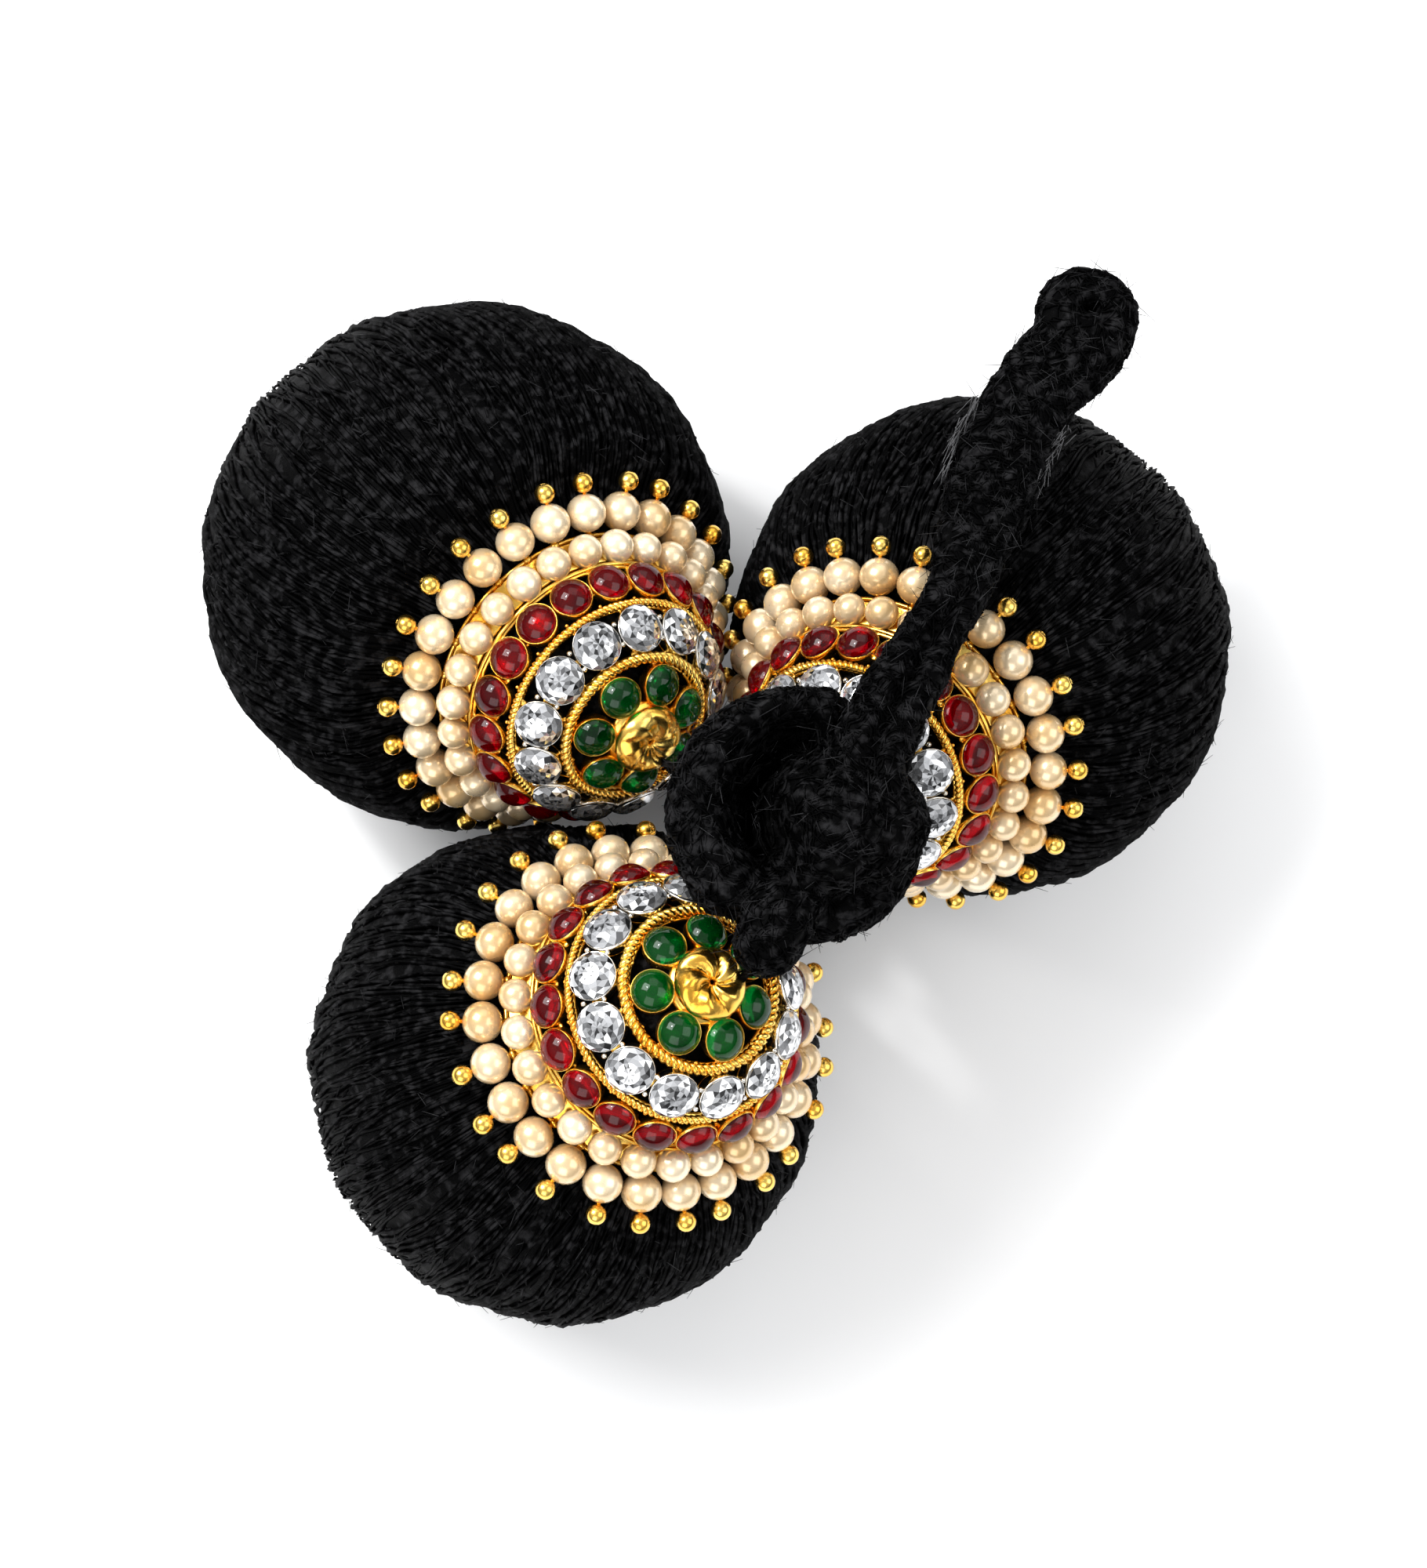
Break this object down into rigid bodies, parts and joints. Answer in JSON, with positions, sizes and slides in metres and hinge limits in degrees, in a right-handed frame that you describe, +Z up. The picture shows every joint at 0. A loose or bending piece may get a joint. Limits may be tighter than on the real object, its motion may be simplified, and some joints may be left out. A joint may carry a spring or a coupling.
{
  "type": "hair tassel",
  "caption": "Hair tassel: black wool-wound balls with gold, stone-set and pearl-edged domed caps, joined by a wound knot with a looped strap.",
  "frame": {"origin": "on the surface that it lies on, under the middle of its bounding box", "axes": "+Z up from the surface; +X to the right and +Y away, with the front ball towards -Y and the strap pointing to +X +Y"},
  "size_m": [0.1013, 0.1009, 0.0679],
  "materials": {
    "wool": "black wound wool yarn, matt and slightly fuzzy",
    "gold": "bright gold-plated brass",
    "green_stone": "polished dark green domed glass",
    "white_stone": "cut clear glass with a silvered back",
    "red_stone": "polished dark red domed glass",
    "pearl": "cream pearl lustre"
  },
  "bodies": {
    "root": {"ball_left": "wool", "ball_right": "wool", "ball_front": "wool", "cap_left_dome": "gold", "cap_right_dome": "gold", "cap_front_dome": "gold", "cap_left_green_stones": "green_stone", "cap_right_green_stones": "green_stone", "cap_front_green_stones": "green_stone", "cap_left_white_stones": "white_stone", "cap_right_white_stones": "white_stone", "cap_front_white_stones": "white_stone", "cap_left_red_stones": "red_stone", "cap_right_red_stones": "red_stone", "cap_front_red_stones": "red_stone", "cap_left_inner_pearls": "pearl", "cap_right_inner_pearls": "pearl", "cap_front_inner_pearls": "pearl", "cap_left_outer_pearls": "pearl", "cap_right_outer_pearls": "pearl", "cap_front_outer_pearls": "pearl", "cap_left_pins": "gold", "cap_right_pins": "gold", "cap_front_pins": "gold", "stem_left": "wool", "stem_right": "wool", "stem_front": "wool", "knot": "wool", "strap": "wool"}
  },
  "joints": []
}
